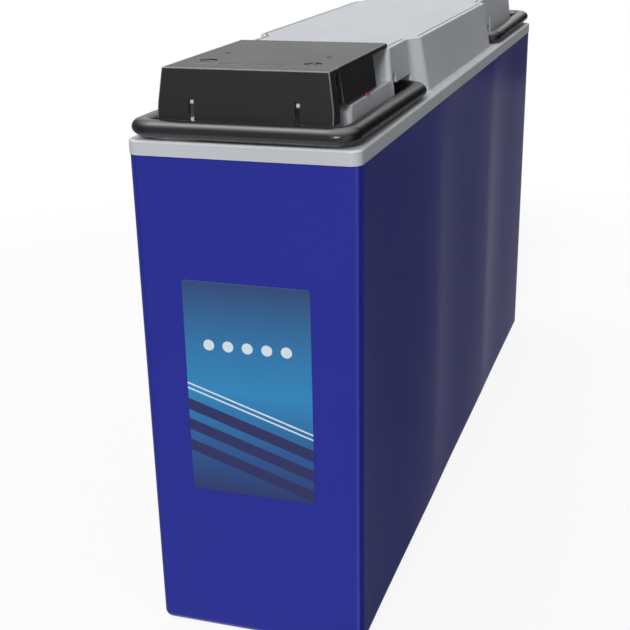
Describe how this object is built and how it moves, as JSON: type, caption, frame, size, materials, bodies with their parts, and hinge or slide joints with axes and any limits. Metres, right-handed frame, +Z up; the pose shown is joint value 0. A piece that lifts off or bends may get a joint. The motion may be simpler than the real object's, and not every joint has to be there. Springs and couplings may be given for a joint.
{
  "type": "deep cycle battery",
  "caption": "Tall, narrow front-terminal deep cycle battery: blue container, grey raised lid, black lift-off terminal cover with a hinged flap, and swing-up carrying handles at both ends.",
  "frame": {"origin": "middle of the container's flat base, on the surface that the battery stands on", "axes": "+Z up, +Y along the length towards the rear, with the terminals and their cover at -Y, +X to the right when the front is faced, which is the positive terminal's side"},
  "size_m": [0.1258, 0.5714, 0.3242],
  "materials": {
    "blue_case": "glossy moulded deep blue",
    "grey_lid": "satin moulded light grey",
    "black_cover": "fine-grained moulded black",
    "black_grip": "smooth moulded black",
    "red_ring": "moulded red",
    "black_ring": "moulded black",
    "lead": "dull cast lead",
    "positive_paste": "dark brown lead dioxide paste on a lead grid",
    "negative_paste": "grey sponge lead on a lead grid",
    "glass_mat": "white absorbent glass mat",
    "steel": "zinc plated steel",
    "valve_rubber": "black rubber",
    "ceramic": "porous off-white ceramic",
    "label": "printed film, plain bands without words"
  },
  "bodies": {
    "battery": {"container": "blue_case", "lid": "grey_lid", "vent_cover": "grey_lid", "flame_arrestor": "ceramic", "cell_1_positive_plates": "positive_paste", "cell_2_positive_plates": "positive_paste", "cell_3_positive_plates": "positive_paste", "cell_4_positive_plates": "positive_paste", "cell_5_positive_plates": "positive_paste", "cell_6_positive_plates": "positive_paste", "cell_1_negative_plates": "negative_paste", "cell_2_negative_plates": "negative_paste", "cell_3_negative_plates": "negative_paste", "cell_4_negative_plates": "negative_paste", "cell_5_negative_plates": "negative_paste", "cell_6_negative_plates": "negative_paste", "cell_1_separator": "glass_mat", "cell_2_separator": "glass_mat", "cell_3_separator": "glass_mat", "cell_4_separator": "glass_mat", "cell_5_separator": "glass_mat", "cell_6_separator": "glass_mat", "intercell_weld_1": "lead", "intercell_weld_2": "lead", "intercell_weld_3": "lead", "intercell_weld_4": "lead", "intercell_weld_5": "lead", "relief_valve_1": "valve_rubber", "relief_valve_2": "valve_rubber", "relief_valve_3": "valve_rubber", "relief_valve_4": "valve_rubber", "relief_valve_5": "valve_rubber", "relief_valve_6": "valve_rubber", "positive_terminal_post": "lead", "negative_terminal_post": "lead", "positive_seal_ring": "red_ring", "negative_seal_ring": "black_ring", "positive_flat_washer": "steel", "negative_flat_washer": "steel", "positive_spring_washer": "steel", "negative_spring_washer": "steel", "positive_terminal_bolt": "steel", "negative_terminal_bolt": "steel", "front_label": "label"},
    "front_handle": {"front_handle": "black_grip"},
    "rear_handle": {"rear_handle": "black_grip"},
    "terminal_cover": {"terminal_cover": "black_cover"},
    "terminal_cover_flap": {"terminal_cover_flap": "black_cover"}
  },
  "joints": [
    {"name": "front_handle_swing", "type": "hinge", "parent": "battery", "child": "front_handle", "pos_m": [0, -0.124, 0.2934], "axis": [-1, 0, 0], "range_deg": [0, 105]},
    {"name": "rear_handle_swing", "type": "hinge", "parent": "battery", "child": "rear_handle", "pos_m": [0, 0.124, 0.2934], "axis": [1, 0, 0], "range_deg": [0, 105]},
    {"name": "terminal_cover_lift", "type": "slide", "parent": "battery", "child": "terminal_cover", "axis": [0, 0, 1], "range_m": [0, 0.06]},
    {"name": "flap_hinge", "type": "hinge", "parent": "terminal_cover", "child": "terminal_cover_flap", "pos_m": [0, -0.25576, 0.3242], "axis": [-1, 0, 0], "range_deg": [0, 90]}
  ]
}
